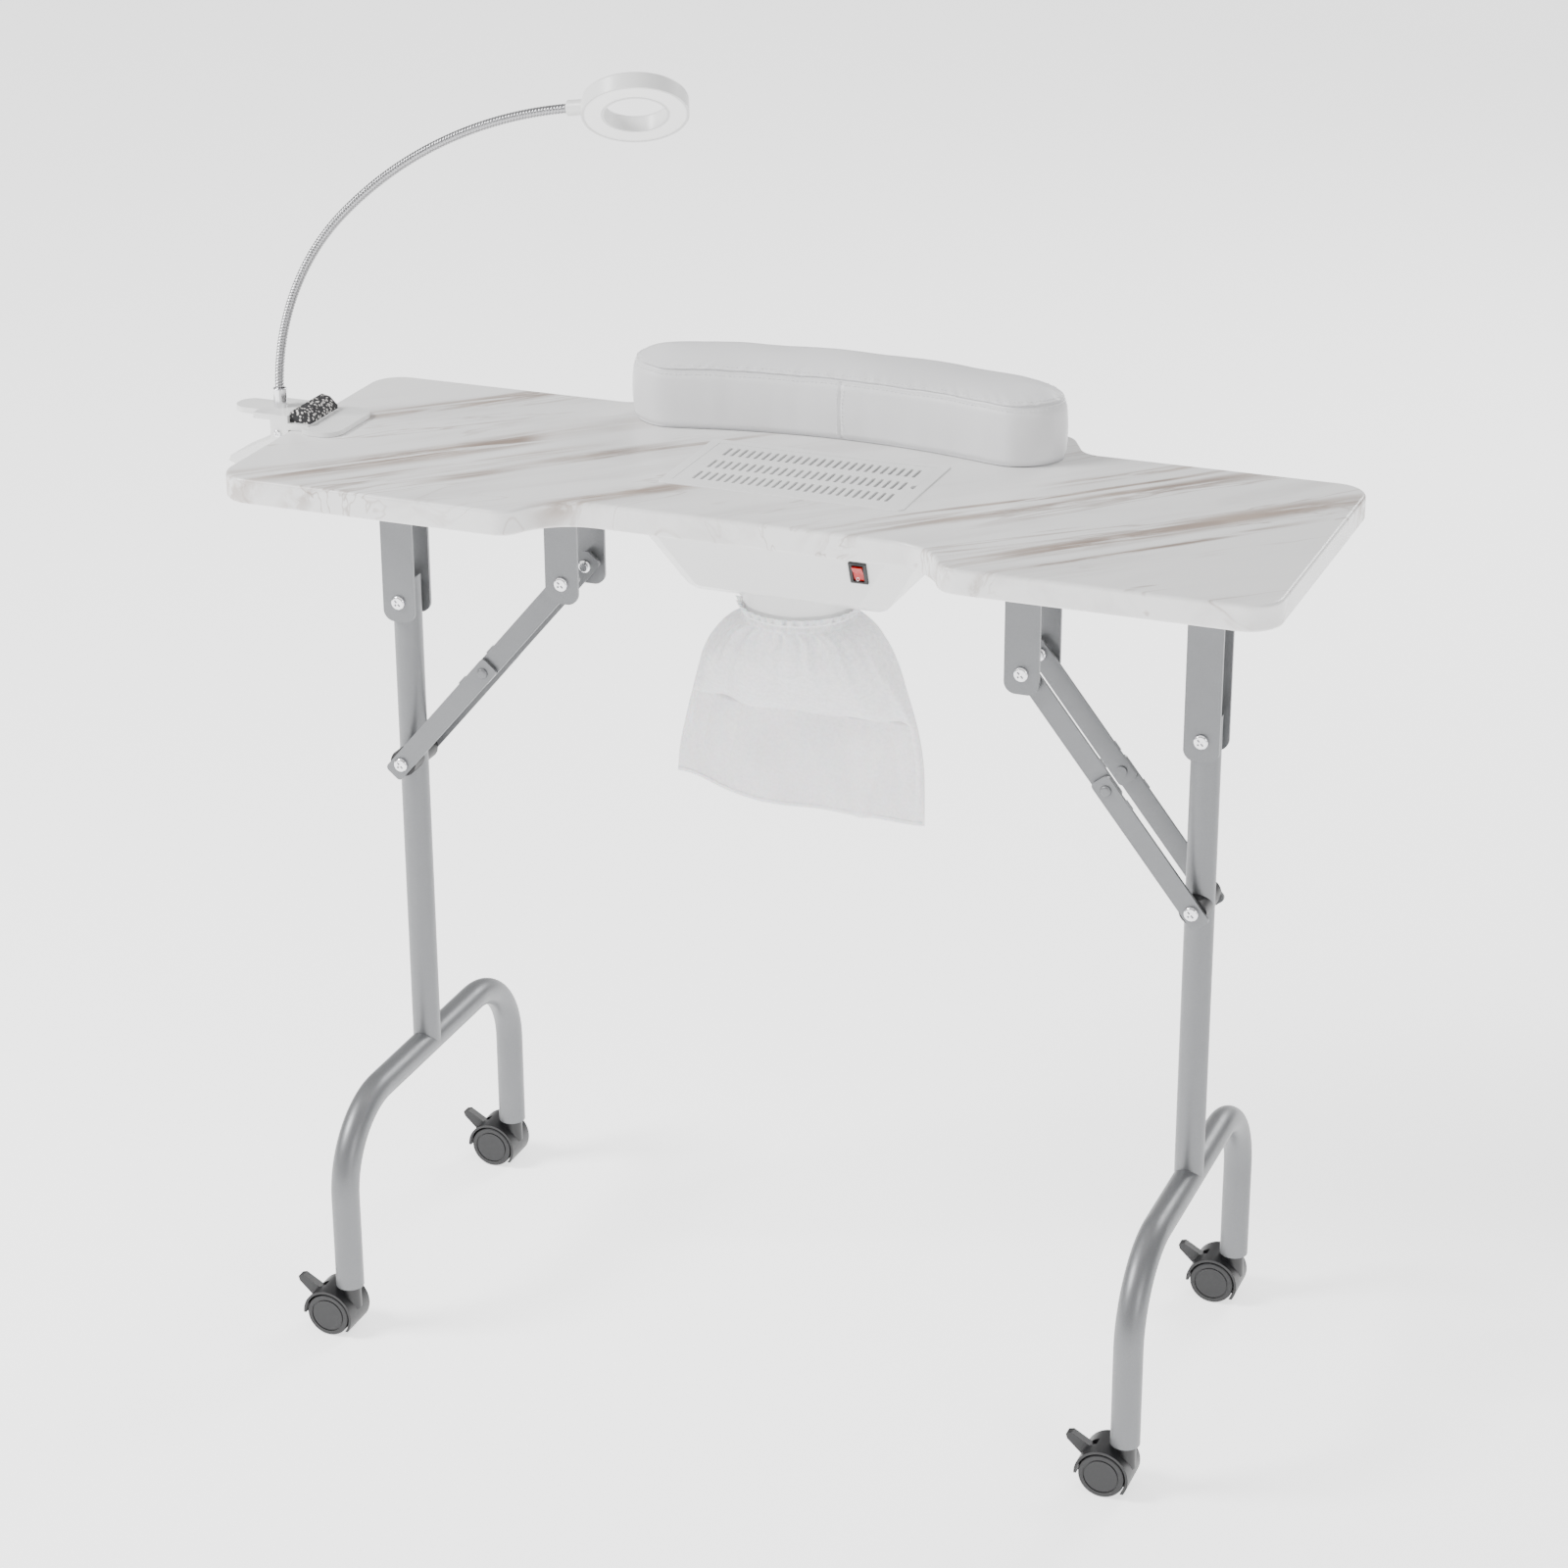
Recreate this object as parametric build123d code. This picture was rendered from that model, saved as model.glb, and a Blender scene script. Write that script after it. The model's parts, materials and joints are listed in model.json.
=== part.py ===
from build123d import *

import math
import os

# Folding manicure table with dust collector, wrist cushion and clip-on ring lamp.
# Millimetres. The table frame has x to the right, y to the back and z up from the floor,
# with x = 0 and y = 0 at the plan centre of the table's wings. Every node is written
# moved by ORIGIN_SHIFT, so that the part's own origin is the centre of the whole
# object's footprint on the floor.

# ------------------------------------------------------------------ driving dimensions
ORIGIN_SHIFT = (31.0, -8.7, 0.0)

TABLE_L = 900.0
TABLE_W = 310.0
TABLE_T = 22.0
TABLE_Z = 788.0
CORNER_R = 28.0
FRONT_RECESS_Y = -110.0
BACK_BULGE_Y = 199.0
EDGE_R = 3.0

UNDER_Z = TABLE_Z - TABLE_T
EDGE_X = -TABLE_L / 2

# Legs: one 25 mm post on each side, welded to an upturned U of the same tube.
LEG_Y = 5.0
POST_X = 359.0
TUBE_R = 12.5
TUBE_WALL = 1.3
PIVOT_DROP = {"left": 127.0, "right": 152.5}
POST_ABOVE_PIVOT = 28.0
FOOT_TOP_Z = 209.0
FOOT_HALF = 168.5
FOOT_BEND_R = 75.0
FOOT_END_Z = 46.0

# Brackets: upturned U pressings of 3 mm steel.
PLATE_T = 3.0
BRACKET_W = 30.0
OUTER_GAP = 27.0
INNER_GAP = 53.0
INNER_PIVOT = {"left": (-197.5, 681.0), "right": (210.5, 656.0)}

# Braces: two pairs of flat bars a side, straight when the leg stands.
BRACE_DROP = 148.0
BAR_W = 18.0
BAR_T = 3.0
UPPER_BAR_Y = 19.0
LOWER_BAR_Y = 22.5
KNUCKLE_SHARE = 0.49
BAR_TAIL = 11.0
SPACER_R = 12.0

BOLT_R = 4.0
BRACE_BOLT_R = 3.5
HEAD_R = 6.3
HEAD_H = 3.2
RUNNING = 0.05

# Casters: twin 40 mm wheels under a hood, trailing 15 mm behind the stem.
WHEEL_R = 20.0
WHEEL_IN = 7.2
WHEEL_OUT = 17.6
CASTER_HALF = 18.2
CASTER_TRAIL = 15.0
HOOD_R = 23.5
STEM_R = 5.0
AXLE_R = 3.0

# Intake grille let into the table top.
GRILLE_X = (-100.5, 113.0)
GRILLE_Y = (-42.0, 80.0)
GRILLE_LIP = 7.5
LIP_T = 1.2
SLOT_COUNT = 25
SLOT_PITCH = 7.0
SLOT_L = 21.4
SLOT_W = 3.0
SLOT_X0 = -75.5
SLOT_ROWS = (51.1, 17.3, -14.2)

# Dust collector under the top.
BOX_X = 8.0
FACE_TILT = 20.0
FACE_TOP_Y = -70.6
FACE_HALF = (109.6, 71.5)
FACE_LOW_Z = 705.0
BODY_BACK = 20.0
BODY_HALF = (133.0, 86.0)
BODY_LOW_Z = 693.0
BODY_END_Y = 104.0
BOX_WALL = 2.6
COLLAR_Y = 3.0
COLLAR_R = 48.0
COLLAR_WALL = 2.4
COLLAR_LOW_Z = 686.5
SPIGOT_R = 46.0
SPIGOT_LOW_Z = 672.0
FAN_SEAT_Z = 689.0
FAN_R = 45.55

SWITCH_POS = (83.3, 739.0)
SWITCH_W = 15.5
SWITCH_H = 21.0
ROCKER_TILT = 12.0
INLET_X = -60.0
INLET_Z = 735.0

# Dust bag hung on the collar.
BAG_TOP_Z = 685.5
BAG_LOW_Z = 497.0
BAG_HALF_W = 112.0
BAG_NECK_R = 49.3

# Wrist cushion.
CUSHION_H = 60.0
CUSHION_FRONT = ((-155, 91), (0, 114.5), (155, 91))
CUSHION_REAR = ((155, 91), (184, 106.5), (196.5, 134), (182, 161), (138, 179), (70, 191.5), (0, 196))
CUSHION_GAP = 0.3

# Lamp: a spring clamp on the left edge, a gooseneck and a tilted ring head.
CLAMP_PIN = (-461.0, 784.0)
FERRULE_X = -470.0
FERRULE_Z = (800.3, 817.0)
NECK_R = 4.0
ARM_ARCS = ((86.0, 45.0, 233.0), (45.0, 8.0, 382.0))
RING_CENTRE = (-135.0, 8.0, 1085.0)
RING_AZIMUTH = 23.8
RING_TILT = 43.0
RING_R = 43.5
RING_HOLE_R = 25.5
RING_H = 15.0

SIDES = ("left", "right")
SIGN = {"left": -1, "right": 1}


# ------------------------------------------------------------------ small helpers
def save(name, shape):
    """Write one node, moved to the part's own origin."""
    export_step(Pos(*ORIGIN_SHIFT) * shape, f"parts/{name}.step")


def group(solids):
    """Several separate solids that make one node."""
    return Compound([s for shape in solids for s in shape.solids()])


def cylinder_y(r, y0, y1, x=0.0, z=0.0):
    """A cylinder along Y from y0 to y1."""
    return Pos(x, (y0 + y1) / 2, z) * Rot(90, 0, 0) * Cylinder(r, abs(y1 - y0))


def cylinder_z(r, z0, z1, x=0.0, y=0.0):
    """A cylinder along Z from z0 to z1."""
    return Pos(x, y, (z0 + z1) / 2) * Cylinder(r, z1 - z0)


def block(x0, x1, y0, y1, z0, z1):
    """A box given by its limits."""
    return Pos((x0 + x1) / 2, (y0 + y1) / 2, (z0 + z1) / 2) * Box(x1 - x0, y1 - y0, z1 - z0)


def pan_head(y_face, outward, x, z, r=HEAD_R, h=HEAD_H):
    """A round screw head that stands on a face at y_face, with a cross recess."""
    y1 = y_face + outward * h
    head = cylinder_y(r, y_face, y1, x, z)
    head = fillet(head.edges().filter_by(GeomType.CIRCLE).sort_by(Axis.Y)[-1 if outward > 0 else 0], h * 0.6)
    for turn in (45, 135):
        slot = Pos(x, y1, z) * Rot(0, turn, 0) * Box(r * 1.1, h * 0.9, r * 0.26)
        head -= slot
    return head


def hex_nut(y_face, outward, x, z, across=11.0, h=4.5):
    """A plain nut on a face at y_face."""
    nut = extrude(Plane.XZ * RegularPolygon(across / 2, 6, major_radius=False), h)
    low = y_face if outward > 0 else y_face - h
    return Pos(x, low + h, z) * nut


def ring_points(side):
    """Pivot points of one leg in x and z: post pivot, brace foot, brace top and knuckle."""
    x = SIGN[side] * POST_X
    post_z = UNDER_Z - PIVOT_DROP[side]
    foot = (x, post_z - BRACE_DROP)
    top = INNER_PIVOT[side]
    knuckle = tuple(t + KNUCKLE_SHARE * (f - t) for t, f in zip(top, foot))
    return (x, post_z), foot, top, knuckle


# ------------------------------------------------------------------ table top
def table_outline():
    """Half outline on the right, mirrored: straight ends, an S to the front recess and the back bulge."""
    hx, hy, r = TABLE_L / 2, TABLE_W / 2, CORNER_R
    front_r1, front_r2, front_turn = 21.0, 57.0, 65.0
    back_r, back_turn, back_x = 22.0, 62.0, 218.0

    s, c = math.sin(math.radians(front_turn)), math.cos(math.radians(front_turn))
    front_x = 197.0
    mid_front = (front_x - front_r1 * s, -hy + front_r1 * (1 - c))
    in_front = (mid_front[0] - front_r2 * s, FRONT_RECESS_Y)
    lines = Line((0, FRONT_RECESS_Y), in_front)
    lines += TangentArc(in_front, mid_front, tangent=(1, 0))
    lines += TangentArc(mid_front, (front_x, -hy), tangent=(c, -s))
    lines += Line((front_x, -hy), (hx - r, -hy))
    lines += TangentArc((hx - r, -hy), (hx, -hy + r), tangent=(1, 0))
    lines += Line((hx, -hy + r), (hx, hy - r))
    lines += TangentArc((hx, hy - r), (hx - r, hy), tangent=(0, 1))

    s, c = math.sin(math.radians(back_turn)), math.cos(math.radians(back_turn))
    rise = BACK_BULGE_Y - hy
    slope = (rise - 2 * back_r * (1 - c)) / s
    a = (back_x - back_r * s, hy + back_r * (1 - c))
    b = (a[0] - slope * c, a[1] + slope * s)
    d = (b[0] - back_r * s, BACK_BULGE_Y)
    lines += Line((hx - r, hy), (back_x, hy))
    lines += TangentArc((back_x, hy), a, tangent=(-1, 0))
    lines += Line(a, b)
    lines += TangentArc(b, d, tangent=(-c, s))
    lines += Line(d, (0, BACK_BULGE_Y))
    lines += mirror(lines, about=Plane.YZ)
    return make_face(lines)


def screw_places():
    """Centres of the wood screws that hold the four brackets, in x and y."""
    places = []
    for side in SIDES:
        x = SIGN[side] * POST_X
        places += [(x - 8, LEG_Y), (x + 8, LEG_Y)]
        ix = INNER_PIVOT[side][0]
        places += [(ix + dx, LEG_Y + dy) for dx in (-8, 8) for dy in (-16, 16)]
    return places


def housing_screw_places():
    """Centres of the screws in the dust collector's flange."""
    xs = (BOX_X - BODY_HALF[0] - 7, BOX_X + BODY_HALF[0] + 7)
    return [(x, y) for x in xs for y in (-35.0, 90.0)]


def table_top():
    top = extrude(table_outline(), TABLE_T)
    top = Pos(0, 0, UNDER_Z) * top
    rims = top.edges().filter_by(Plane.XY)
    top = fillet(rims, EDGE_R)
    x0, x1 = GRILLE_X[0] + GRILLE_LIP, GRILLE_X[1] - GRILLE_LIP
    y0, y1 = GRILLE_Y[0] + GRILLE_LIP, GRILLE_Y[1] - GRILLE_LIP
    top -= block(x0, x1, y0, y1, UNDER_Z - 1, TABLE_Z + 1)
    for x, y in screw_places() + housing_screw_places():
        top -= cylinder_z(2.0, UNDER_Z - 1, UNDER_Z + 14, x, y)
    return top


def wood_screw(x, y, face_z):
    """Pan head below face_z, shank up into the table top."""
    head = cylinder_z(4.0, face_z - 2.2, face_z, x, y)
    head = fillet(head.edges().filter_by(GeomType.CIRCLE).sort_by(Axis.Z)[0], 1.2)
    for turn in (0, 90):
        head -= Pos(x, y, face_z - 2.2) * Rot(0, 0, turn) * Box(4.4, 1.0, 2.0)
    return head + cylinder_z(2.0, face_z, UNDER_Z + 14, x, y)


# ------------------------------------------------------------------ intake grille
def grille_frame():
    """A thin lip on the table, a wall down through the cut-out and a ledge for filter and panel."""
    x0, x1 = GRILLE_X
    y0, y1 = GRILLE_Y
    g = GRILLE_LIP
    wall, ledge, deep = 2.0, 5.0, 8.0
    lip = extrude(Pos((x0 + x1) / 2, (y0 + y1) / 2) * RectangleRounded(x1 - x0, y1 - y0, 5.0), LIP_T)
    lip = Pos(0, 0, TABLE_Z) * lip
    lip = chamfer(lip.edges().group_by(Axis.Z)[-1], 0.5)
    frame = lip + block(x0 + g, x1 - g, y0 + g, y1 - g, TABLE_Z - deep, TABLE_Z)
    i = g + wall
    frame -= block(x0 + i, x1 - i, y0 + i, y1 - i, TABLE_Z - deep + 2, TABLE_Z + LIP_T + 1)
    i = g + wall + ledge
    frame -= block(x0 + i, x1 - i, y0 + i, y1 - i, TABLE_Z - deep - 1, TABLE_Z)
    return frame


def grille_inside(gap):
    """Plan limits of what lies inside the frame's wall, with a gap all round."""
    i = GRILLE_LIP + 2.0 + gap
    return GRILLE_X[0] + i, GRILLE_X[1] - i, GRILLE_Y[0] + i, GRILLE_Y[1] - i


def grille_panel():
    x0, x1, y0, y1 = grille_inside(0.3)
    panel = block(x0, x1, y0, y1, TABLE_Z - 1.6, TABLE_Z + LIP_T - 0.2)
    slots = []
    for row in SLOT_ROWS:
        for i in range(SLOT_COUNT):
            place = Pos(SLOT_X0 + SLOT_PITCH * i, row, TABLE_Z - 3) * Rot(0, 0, 90)
            slots.append(place * extrude(SlotOverall(SLOT_L, SLOT_W), 6))
    panel -= slots
    panel -= cylinder_z(5.0, TABLE_Z - 3, TABLE_Z + 3, x1 + 1.0, 17.3)
    return panel


def filter_pad():
    x0, x1, y0, y1 = grille_inside(0.5)
    pad = block(x0, x1, y0, y1, TABLE_Z - 5.9, TABLE_Z - 1.9)
    return pad


# ------------------------------------------------------------------ dust collector
def tilt_plane(offset):
    """A plane that leans back like the front face, offset mm behind it, seen from the front."""
    t = math.radians(FACE_TILT)
    return Plane(
        origin=(BOX_X, FACE_TOP_Y + offset, UNDER_Z),
        x_dir=(1, 0, 0),
        z_dir=(0, -math.cos(t), -math.sin(t)),
    )


def trapezoid(plane, top_half, low_half, low_z, radius, up=0.0):
    """A trapezoid on a leaning plane, from the table's underside (plus up) to low_z."""
    t = math.radians(FACE_TILT)
    depth = (UNDER_Z - low_z) / math.cos(t)
    slope = (top_half - low_half) / depth
    th = top_half + slope * up
    outline = Polyline((-th, up), (-low_half, -depth), (low_half, -depth), (th, up), close=True)
    face = make_face(outline)
    corners = face.vertices().group_by(Axis.Y)[0]
    return plane * fillet(corners, radius)


def box_shape(inset):
    """The collector's outer shape, or its inside when inset by the wall."""
    lift = inset / math.cos(math.radians(FACE_TILT))
    up = 0.0 if inset == 0 else 1.0
    front = trapezoid(
        tilt_plane(inset), FACE_HALF[0] - inset, FACE_HALF[1] - inset, FACE_LOW_Z + lift, 8.0, up
    )
    mid = trapezoid(
        tilt_plane(BODY_BACK + inset * 0.3), BODY_HALF[0] - inset, BODY_HALF[1] - inset, BODY_LOW_Z + lift, 16.0, up
    )
    wedge = loft([front, mid], ruled=True)
    back = extrude(mid, BODY_END_Y + 80, dir=(0, 1, 0))
    back -= block(-300, 300, BODY_END_Y - inset, 500, 500, 900)
    return wedge + back


def collector_box():
    """Tray with a flange, open to the intake above and to the collar below."""
    tray = box_shape(0.0)
    flange_x = BODY_HALF[0] + 14
    flange = extrude(Pos(BOX_X, 27) * RectangleRounded(2 * flange_x, 158, 8), -2.6)
    tray += Pos(0, 0, UNDER_Z) * flange
    tray -= block(-400, 400, -300, 300, UNDER_Z, UNDER_Z + 60)
    tray -= box_shape(BOX_WALL)
    tray -= cylinder_z(COLLAR_R - COLLAR_WALL, 640, FACE_LOW_Z + 12, BOX_X, COLLAR_Y)
    for x, y in housing_screw_places():
        tray -= cylinder_z(2.2, UNDER_Z - 5, UNDER_Z + 1, x, y)
    tray -= switch_plane() * Box(12.6, 18.6, 20)
    tray -= cylinder_y(5.6, BODY_END_Y - 10, BODY_END_Y + 5, INLET_X, INLET_Z)
    return tray


def collar():
    """Round duct below the tray, trimmed to the tray's underside, with a spigot for the bag."""
    ring = cylinder_z(COLLAR_R, COLLAR_LOW_Z, FACE_LOW_Z + 8, BOX_X, COLLAR_Y)
    ring += cylinder_z(SPIGOT_R, SPIGOT_LOW_Z, COLLAR_LOW_Z + 1, BOX_X, COLLAR_Y)
    ring -= cylinder_z(COLLAR_R - COLLAR_WALL, FAN_SEAT_Z, 800, BOX_X, COLLAR_Y)
    ring -= cylinder_z(SPIGOT_R - COLLAR_WALL, 600, 800, BOX_X, COLLAR_Y)
    ring -= box_shape(0.0)
    return max(ring.solids(), key=lambda s: s.volume)


def fan_frame():
    """Round fan housing in the collar, with a motor hub on four struts."""
    low, high = FAN_SEAT_Z, FAN_SEAT_Z + 25
    r = FAN_R
    frame = cylinder_z(r, low, high) - cylinder_z(r - 2.5, low - 1, high + 1)
    hub = cylinder_z(15.0, low, low + 6) + cylinder_z(2.0, low + 6, low + 20)
    for turn in (45, 135):
        frame += Rot(0, 0, turn) * (block(-r + 1, r - 1, -2, 2, low, low + 4))
    frame += hub
    return Pos(BOX_X, COLLAR_Y, 0) * frame


def impeller():
    """Hub cup and seven pitched blades, running on the fan's shaft."""
    low, high = 696.5, 712.5
    hub = cylinder_z(14.0, low, high)
    hub = fillet(hub.edges().group_by(Axis.Z)[-1], 2)
    blade = Pos(27, 0, (low + high) / 2) * Rot(38, 0, 0) * Box(28, 17, 1.4)
    blade &= cylinder_z(40.8, low, high)
    rotor = hub
    for i in range(7):
        rotor += Rot(0, 0, i * 360 / 7) * blade
    rotor -= cylinder_z(2.0 + RUNNING, low - 1, 709.0 + 0.6)
    return Pos(BOX_X, COLLAR_Y, 0) * rotor


def fan_guard():
    """Finger guard over the fan: rings on a cross."""
    low, high = 714.2, 716.2
    guard = cylinder_z(FAN_R, low, high) - cylinder_z(FAN_R - 3, low - 1, high + 1)
    for r in (33.0, 23.0, 13.0):
        guard += cylinder_z(r, low, high) - cylinder_z(r - 2.0, low - 1, high + 1)
    for turn in (0, 90):
        guard += Rot(0, 0, turn) * block(-FAN_R + 1, FAN_R - 1, -1.5, 1.5, low, high)
    return Pos(BOX_X, COLLAR_Y, 0) * guard


def switch_plane():
    """Plane of the front face at the switch, y up the face and z out of it."""
    t = math.radians(FACE_TILT)
    x, z = SWITCH_POS
    y = FACE_TOP_Y + (UNDER_Z - z) * math.tan(t)
    return Plane(origin=(x, y, z), x_dir=(1, 0, 0), z_dir=(0, -math.cos(t), -math.sin(t)))


def switch_bezel():
    rim = extrude(RectangleRounded(SWITCH_W, SWITCH_H, 1.0), 1.8)
    rim = chamfer(rim.edges().group_by(Axis.Z)[-1], 0.5)
    body = Pos(0, 0, -7) * Box(12.4, 18.4, 14)
    shell = rim + body
    shell -= Pos(0, 0, -2) * Box(9.6, 16.4, 12)
    for y in (-5, 0, 5):
        shell += Pos(0, y, -17) * Box(4.6, 0.8, 6.4)
    return switch_plane() * shell


def switch_rocker():
    """Rocker on an axis in the face, its hollow top turned so that the lower end is pressed in."""
    profile = Polyline((-7.76, 1.94), (0, 1.0), (7.76, 1.94), (6.0, -4.0), (-6.0, -4.0), close=True)
    key = extrude(Plane.YZ * make_face(profile), 4.5, both=True)
    return switch_plane() * Rot(ROCKER_TILT, 0, 0) * key


def power_inlet():
    """Round 5.5 mm low-voltage socket in the back wall."""
    y = BODY_END_Y
    inlet = cylinder_y(7.5, y, y + 1.8, INLET_X, INLET_Z) + cylinder_y(5.6, y - 12, y, INLET_X, INLET_Z)
    return inlet - cylinder_y(2.75, y - 8.2, y + 5, INLET_X, INLET_Z)


# ------------------------------------------------------------------ dust bag
def bag_section(z, rx, ry, y=COLLAR_Y):
    return Pos(BOX_X, y, z) * Ellipse(rx, ry)


def dust_bag():
    """Closed bag shape below the spigot and a gathered neck round it."""
    mouth = SPIGOT_LOW_Z - 0.3
    sections = [
        bag_section(mouth, BAG_NECK_R, BAG_NECK_R),
        bag_section(658.0, 68.0, 49.0),
        bag_section(636.0, 83.0, 45.0),
        bag_section(589.0, 100.0, 36.0),
        bag_section(541.0, 108.0, 22.0),
        bag_section(BAG_LOW_Z, BAG_HALF_W, 5.0),
    ]
    neck = cylinder_z(BAG_NECK_R, mouth, BAG_TOP_Z, BOX_X, COLLAR_Y)
    neck -= cylinder_z(SPIGOT_R + 0.3, 600, 800, BOX_X, COLLAR_Y)
    return loft(sections) + neck


def bag_elastic():
    return Pos(BOX_X, COLLAR_Y, 679.0) * Torus(BAG_NECK_R + 1.2, 1.0)


# ------------------------------------------------------------------ brackets and bolts
def bracket(x, pivot_z, gap, bolt_r):
    """Upturned U with rounded cheeks; its web is screwed to the table's underside."""
    low = pivot_z - 18
    outer = gap / 2 + PLATE_T
    u = block(x - BRACKET_W / 2, x + BRACKET_W / 2, LEG_Y - outer, LEG_Y + outer, low, UNDER_Z)
    corners = u.edges().filter_by(Axis.Y).group_by(Axis.Z)[0]
    u = fillet(corners, 10.0)
    u -= block(x - 50, x + 50, LEG_Y - gap / 2, LEG_Y + gap / 2, low - 1, UNDER_Z - PLATE_T)
    u -= cylinder_y(bolt_r, LEG_Y - 60, LEG_Y + 60, x, pivot_z)
    for sx, sy in screw_places():
        if abs(sx - x) < 20:
            u -= cylinder_z(2.2, UNDER_Z - 10, UNDER_Z + 1, sx, sy)
    return u


def pivot_bolt(side):
    (x, z), _, _, _ = ring_points(side)
    face = OUTER_GAP / 2 + PLATE_T
    shank = cylinder_y(BOLT_R, LEG_Y - face, LEG_Y + face + 7, x, z)
    return shank + pan_head(LEG_Y - face, -1, x, z) + hex_nut(LEG_Y + face, 1, x, z)


def brace_top_bolts(side):
    """Two short bolts through the inner bracket's cheeks, with washers and inner nuts."""
    _, _, (x, z), _ = ring_points(side)
    bolts = []
    for s in (-1, 1):
        cheek = INNER_GAP / 2 + PLATE_T
        inside = UPPER_BAR_Y - 0.1
        shank = cylinder_y(BRACE_BOLT_R, LEG_Y + s * cheek, LEG_Y + s * (inside - 4.0), x, z)
        washer = cylinder_y(7.5, LEG_Y + s * (UPPER_BAR_Y + BAR_T + 0.1), LEG_Y + s * INNER_GAP / 2, x, z)
        nut = pan_head(LEG_Y + s * inside, -s, x, z, 5.6, 3.0)
        bolts.append(shank + washer + nut + pan_head(LEG_Y + s * cheek, s, x, z))
    return group(bolts)


# ------------------------------------------------------------------ braces
def bar(p, q, y, tail_p, tail_q, bore_p=0.0):
    """A flat bar in the plane of the fold, from past p to past q, with a bore at p."""
    length = math.hypot(q[0] - p[0], q[1] - p[1])
    turn = math.degrees(math.atan2(q[1] - p[1], q[0] - p[0]))
    total = length + tail_p + tail_q
    strip = RectangleRounded(total, BAR_W, 4.0)
    strip = Pos((length + tail_q - tail_p) / 2, 0) * strip
    strip = extrude(strip, BAR_T)
    if bore_p:
        strip -= Cylinder(bore_p, 20)
    lift = 1 if q[0] > p[0] else -1
    strip += Pos(length - BAR_TAIL - 9, lift * (BAR_W / 2 - 0.2), BAR_T / 2) * Box(9, 2.4, 2.4)
    along = (math.cos(math.radians(turn)), 0, math.sin(math.radians(turn)))
    return Plane(origin=(p[0], y, p[1]), x_dir=along, z_dir=(0, -1, 0)) * strip


def brace_bars(side, which):
    """Front and rear bars of the upper or the lower link, each with its half of the knuckle rivet."""
    _, foot, top, knuckle = ring_points(side)
    bars = []
    for s in (-1, 1):
        if which == "upper":
            near, start, tail = UPPER_BAR_Y, top, 12.0
        else:
            near, start, tail = LOWER_BAR_Y, foot, 14.0
        y_front = LEG_Y + (near + BAR_T if s > 0 else -near)
        flat = bar(start, knuckle, y_front, tail, BAR_TAIL, BRACE_BOLT_R + RUNNING)
        if which == "upper":
            rivet = cylinder_y(4.6, LEG_Y + s * (near - 1.4), LEG_Y + s * near, *knuckle)
        else:
            face = LEG_Y + s * (near + BAR_T)
            rivet = cylinder_y(4.8, face, face + s * 2.4, *knuckle)
            rivet = fillet(rivet.edges().filter_by(GeomType.CIRCLE).sort_by(Axis.Y)[-1 if s > 0 else 0], 2.2)
        bars.append(flat + rivet)
    return group(bars)


def brace_foot_bolt(side):
    _, (x, z), _, _ = ring_points(side)
    face = LOWER_BAR_Y + BAR_T + 0.1
    shank = cylinder_y(BRACE_BOLT_R, LEG_Y - face, LEG_Y + face + 6, x, z)
    return shank + pan_head(LEG_Y - face, -1, x, z) + hex_nut(LEG_Y + face, 1, x, z)


def brace_spacers(side):
    """Plastic spacers between the post and the lower bars, hollowed to the tube."""
    _, (x, z), _, _ = ring_points(side)
    spacers = []
    for s in (-1, 1):
        body = cylinder_y(SPACER_R, LEG_Y + s * 2, LEG_Y + s * (LOWER_BAR_Y - 0.1), x, z)
        body -= cylinder_z(TUBE_R, z - 60, z + 60, x, LEG_Y)
        body -= cylinder_y(BRACE_BOLT_R, LEG_Y - 50, LEG_Y + 50, x, z)
        spacers.append(body)
    return group(spacers)


# ------------------------------------------------------------------ legs
def post(side):
    """Tube from above the pivot down to a coped end on the foot tube."""
    (x, z), foot, _, _ = ring_points(side)
    high = z + POST_ABOVE_PIVOT
    tube = cylinder_z(TUBE_R, FOOT_TOP_Z, high, x, LEG_Y)
    tube -= cylinder_z(TUBE_R - TUBE_WALL, FOOT_TOP_Z - 1, high + 1, x, LEG_Y)
    tube -= cylinder_y(TUBE_R, LEG_Y - 60, LEG_Y + 60, x, FOOT_TOP_Z)
    tube -= cylinder_y(BOLT_R + RUNNING, LEG_Y - 60, LEG_Y + 60, x, z)
    tube -= cylinder_y(BRACE_BOLT_R, LEG_Y - 60, LEG_Y + 60, x, foot[1])
    slant = Pos(x - SIGN[side] * 12, LEG_Y, high + 8) * Rot(0, SIGN[side] * 40, 0) * Box(60, 60, 22)
    return tube - slant


def foot_tube(side):
    """Upturned U with wide bends; each end holds a bush for a caster's stem."""
    x = SIGN[side] * POST_X
    front, back = LEG_Y - FOOT_HALF, LEG_Y + FOOT_HALF
    corners = [
        (x, front, FOOT_END_Z),
        (x, front, FOOT_TOP_Z),
        (x, back, FOOT_TOP_Z),
        (x, back, FOOT_END_Z),
    ]
    path = FilletPolyline(*corners, radius=FOOT_BEND_R)
    start = Plane(origin=corners[0], x_dir=(1, 0, 0), z_dir=(0, 0, 1))
    wall = start * (Circle(TUBE_R) - Circle(TUBE_R - TUBE_WALL))
    tube = sweep(wall, path=path)
    for y in (front, back):
        bush = cylinder_z(TUBE_R - TUBE_WALL, FOOT_END_Z, FOOT_END_Z + 24, x, y)
        bush -= cylinder_z(STEM_R + RUNNING, FOOT_END_Z - 1, FOOT_END_Z + 22, x, y)
        tube += bush
    return tube


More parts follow.
